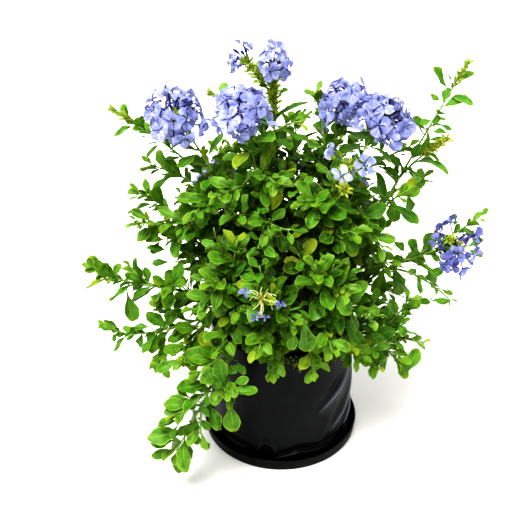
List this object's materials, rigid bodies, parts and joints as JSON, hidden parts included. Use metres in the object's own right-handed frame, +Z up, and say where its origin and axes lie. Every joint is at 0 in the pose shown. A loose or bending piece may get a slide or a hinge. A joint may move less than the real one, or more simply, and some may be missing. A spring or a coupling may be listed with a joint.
{
  "type": "potted plumbago",
  "caption": "Flowering plumbago with leafy green canes and pale blue flower heads, in a soft black grow bag standing on a round black saucer.",
  "frame": {"origin": "centre of the saucer's flat underside", "axes": "+Z up; the side seen in the picture faces -Y; +X to the right in the picture"},
  "size_m": [0.3922, 0.2806, 0.4329],
  "materials": {
    "saucer_plastic": "moulded black polypropylene, satin",
    "bag_film": "black polythene film, creased, soft sheen",
    "potting_mix": "dark crumbly mix with bits of bark",
    "stem_and_leaf": "fresh green leaf, matt with a soft sheen, on green stems",
    "petal": "thin pale lavender-blue petals with a darker middle line"
  },
  "bodies": {
    "root": {"saucer": "saucer_plastic", "grow_bag": "bag_film", "potting_mix": "potting_mix", "cane_left_bloom": "stem_and_leaf", "cane_left": "stem_and_leaf", "cane_left_long": "stem_and_leaf", "cane_left_low": "stem_and_leaf", "cane_trailing": "stem_and_leaf", "cane_front_left": "stem_and_leaf", "cane_front_bloom": "stem_and_leaf", "cane_front_right": "stem_and_leaf", "cane_right_low": "stem_and_leaf", "cane_right_bloom": "stem_and_leaf", "cane_right_tall": "stem_and_leaf", "cane_right_bloom_outer": "stem_and_leaf", "cane_right_bloom_inner": "stem_and_leaf", "cane_pale_bloom": "stem_and_leaf", "cane_centre_bloom": "stem_and_leaf", "cane_top_bloom": "stem_and_leaf", "cane_back_left": "stem_and_leaf", "cane_back": "stem_and_leaf", "cane_back_right": "stem_and_leaf", "cane_back_top": "stem_and_leaf", "bloom_left": "petal", "bloom_centre": "petal", "bloom_top_left": "petal", "bloom_top_right": "petal", "bloom_right_inner": "petal", "bloom_right_outer": "petal", "bloom_pale": "petal", "bloom_far_right": "petal", "bloom_front": "petal", "bloom_back_left": "petal", "bloom_back_right": "petal"}
  },
  "joints": []
}
